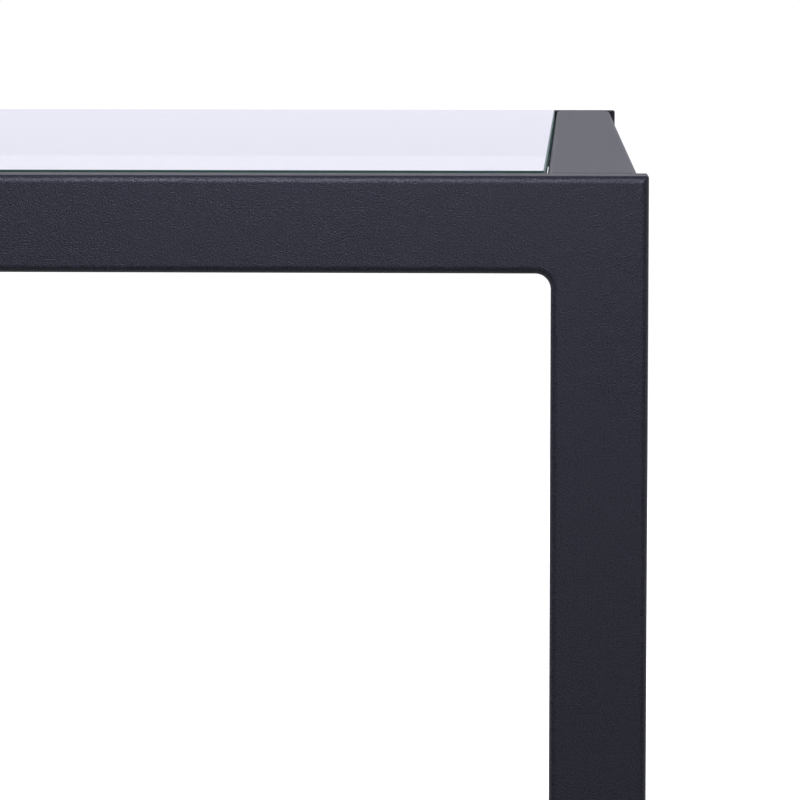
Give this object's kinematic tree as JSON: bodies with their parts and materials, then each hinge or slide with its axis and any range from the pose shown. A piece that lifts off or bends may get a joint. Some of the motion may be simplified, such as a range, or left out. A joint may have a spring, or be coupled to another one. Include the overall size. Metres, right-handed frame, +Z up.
{
  "type": "nesting tables",
  "caption": "Set of nesting side tables: clear glass tops let in flush between square steel tube frames, the small table sliding out sideways from under the large one.",
  "frame": {"origin": "on the floor, under the middle of the set's box as it is displayed, with the small table half out", "axes": "+Z up, +Y along the tables' length, -X the way the small table slides out of the nest"},
  "size_m": [0.76, 0.9, 0.5005],
  "materials": {
    "powder_coat": "fine-textured satin powder coat, charcoal with a blue-violet tint",
    "glass": "clear polished float glass with green edges",
    "zinc_plate": "bright zinc plate",
    "silicone": "clear soft silicone",
    "glide_plastic": "moulded black polyethylene"
  },
  "bodies": {
    "large_table": {"large_bracket_back_left": "powder_coat", "large_bracket_back_right": "powder_coat", "large_bracket_front_left": "powder_coat", "large_bracket_front_right": "powder_coat", "large_end_bolt_back_left": "zinc_plate", "large_end_bolt_back_right": "zinc_plate", "large_end_bolt_front_left": "zinc_plate", "large_end_bolt_front_right": "zinc_plate", "large_end_rail_back": "powder_coat", "large_end_rail_front": "powder_coat", "large_glass_top": "glass", "large_glide_back_left": "glide_plastic", "large_glide_back_right": "glide_plastic", "large_glide_front_left": "glide_plastic", "large_glide_front_right": "glide_plastic", "large_leg_back_left": "powder_coat", "large_leg_back_right": "powder_coat", "large_leg_front_left": "powder_coat", "large_leg_front_right": "powder_coat", "large_pad_back_left": "silicone", "large_pad_back_right": "silicone", "large_pad_front_left": "silicone", "large_pad_front_right": "silicone", "large_side_bolt_back_left": "zinc_plate", "large_side_bolt_back_right": "zinc_plate", "large_side_bolt_front_left": "zinc_plate", "large_side_bolt_front_right": "zinc_plate", "large_side_rail_left": "powder_coat", "large_side_rail_right": "powder_coat"},
    "small_table": {"small_bracket_back_left": "powder_coat", "small_bracket_back_right": "powder_coat", "small_bracket_front_left": "powder_coat", "small_bracket_front_right": "powder_coat", "small_end_bolt_back_left": "zinc_plate", "small_end_bolt_back_right": "zinc_plate", "small_end_bolt_front_left": "zinc_plate", "small_end_bolt_front_right": "zinc_plate", "small_end_rail_back": "powder_coat", "small_end_rail_front": "powder_coat", "small_glass_top": "glass", "small_glide_back_left": "glide_plastic", "small_glide_back_right": "glide_plastic", "small_glide_front_left": "glide_plastic", "small_glide_front_right": "glide_plastic", "small_leg_back_left": "powder_coat", "small_leg_back_right": "powder_coat", "small_leg_front_left": "powder_coat", "small_leg_front_right": "powder_coat", "small_pad_back_left": "silicone", "small_pad_back_right": "silicone", "small_pad_front_left": "silicone", "small_pad_front_right": "silicone", "small_side_bolt_back_left": "zinc_plate", "small_side_bolt_back_right": "zinc_plate", "small_side_bolt_front_left": "zinc_plate", "small_side_bolt_front_right": "zinc_plate", "small_side_rail_left": "powder_coat", "small_side_rail_right": "powder_coat"}
  },
  "joints": [
    {"name": "small_table_slide", "type": "slide", "parent": "large_table", "child": "small_table", "axis": [-1, 0, 0], "range_m": [-0.28, 0.24]}
  ]
}
